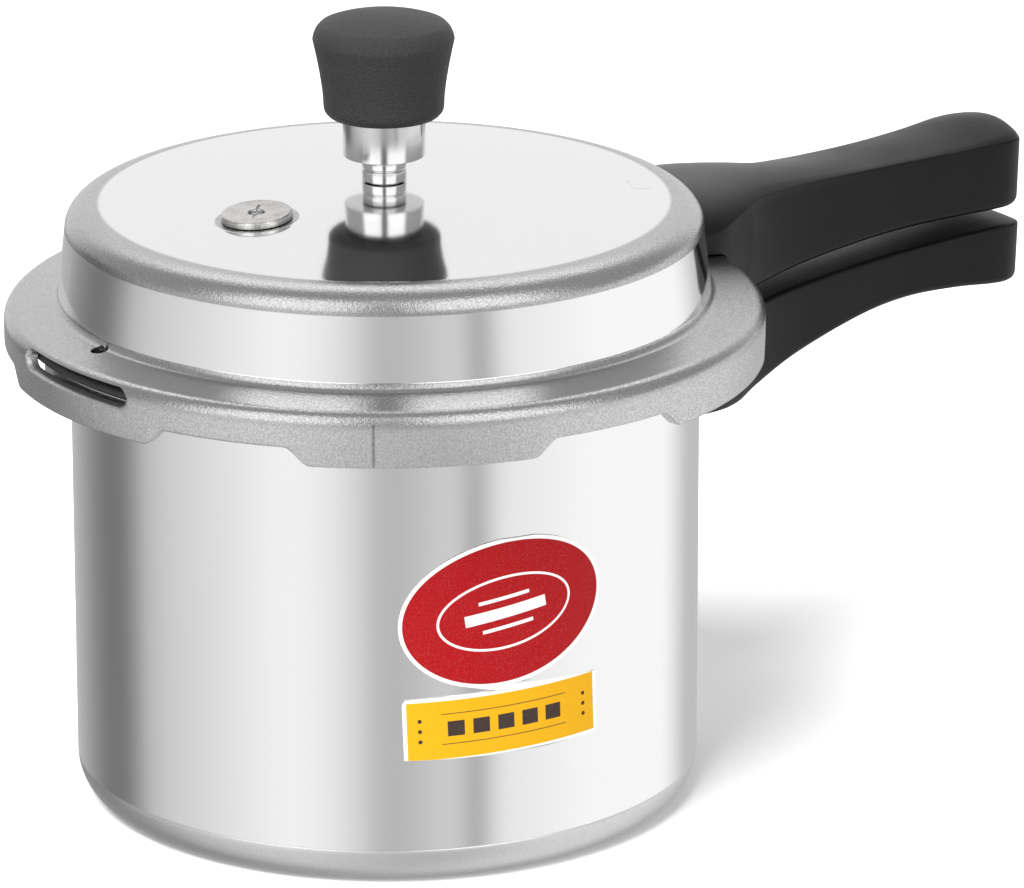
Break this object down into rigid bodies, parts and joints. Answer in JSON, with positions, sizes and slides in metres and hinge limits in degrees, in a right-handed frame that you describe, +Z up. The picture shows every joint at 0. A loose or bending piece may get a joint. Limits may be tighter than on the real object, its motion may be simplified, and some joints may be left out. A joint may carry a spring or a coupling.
{
  "type": "stovetop pressure cooker",
  "caption": "Round aluminium stovetop pressure cooker with a lug-locked outer lid, rubber gasket, vent weight, safety plug and two long black handles.",
  "frame": {"origin": "centre of the pan's flat base, on the lid's turning axis", "axes": "+Z up along the pan's axis; +X along both handles, away from the pan"},
  "size_m": [0.3326, 0.215, 0.2265],
  "materials": {
    "pan_aluminium": "polished wall, satin base corner",
    "lid_aluminium": "mirror-polished crown and wall, satin flange, matt skirt",
    "gasket_rubber": "matt",
    "bakelite": "moulded, semi-gloss",
    "bracket_steel": "zinc plated",
    "plug_steel": "turned",
    "fusible_alloy": "dull cast",
    "chrome": "polished plating",
    "brass": "machined",
    "label": "printed sticker"
  },
  "bodies": {
    "pan": {"pan": "pan_aluminium", "pan_bracket": "bracket_steel", "pan_bracket_rivet_1": "bracket_steel", "pan_bracket_rivet_2": "bracket_steel", "pan_bracket_rivet_3": "bracket_steel", "pan_handle": "bakelite", "pan_handle_screw": "bracket_steel", "pan_handle_washer": "bracket_steel", "front_label": "label"},
    "lid": {"lid": "lid_aluminium", "gasket": "gasket_rubber", "lid_bracket": "bracket_steel", "lid_bracket_rivet_1": "bracket_steel", "lid_bracket_rivet_2": "bracket_steel", "lid_handle": "bakelite", "lid_handle_screw_1": "bracket_steel", "lid_handle_screw_2": "bracket_steel", "vent_pipe": "chrome", "vent_nut": "brass", "vent_washer": "bracket_steel", "safety_plug_body": "plug_steel", "safety_plug_core": "fusible_alloy", "safety_plug_washer": "bracket_steel", "safety_plug_nut": "brass"},
    "weight_clip": {"weight_clip": "bracket_steel"},
    "weight": {"weight_body": "chrome", "weight_knob": "bakelite", "weight_needle": "bracket_steel"}
  },
  "joints": [
    {"name": "lid_turn", "type": "hinge", "parent": "pan", "child": "lid", "pos_m": [0, 0, 0.1374], "axis": [0, 0, 1], "range_deg": [0, 30]},
    {"name": "weight_lift", "type": "slide", "parent": "lid", "child": "weight_clip", "axis": [0, 0, 1], "range_m": [0, 0.03]},
    {"name": "weight_spin", "type": "hinge", "parent": "weight_clip", "child": "weight", "pos_m": [0, 0, 0.1855], "axis": [0, 0, 1], "continuous": true}
  ]
}
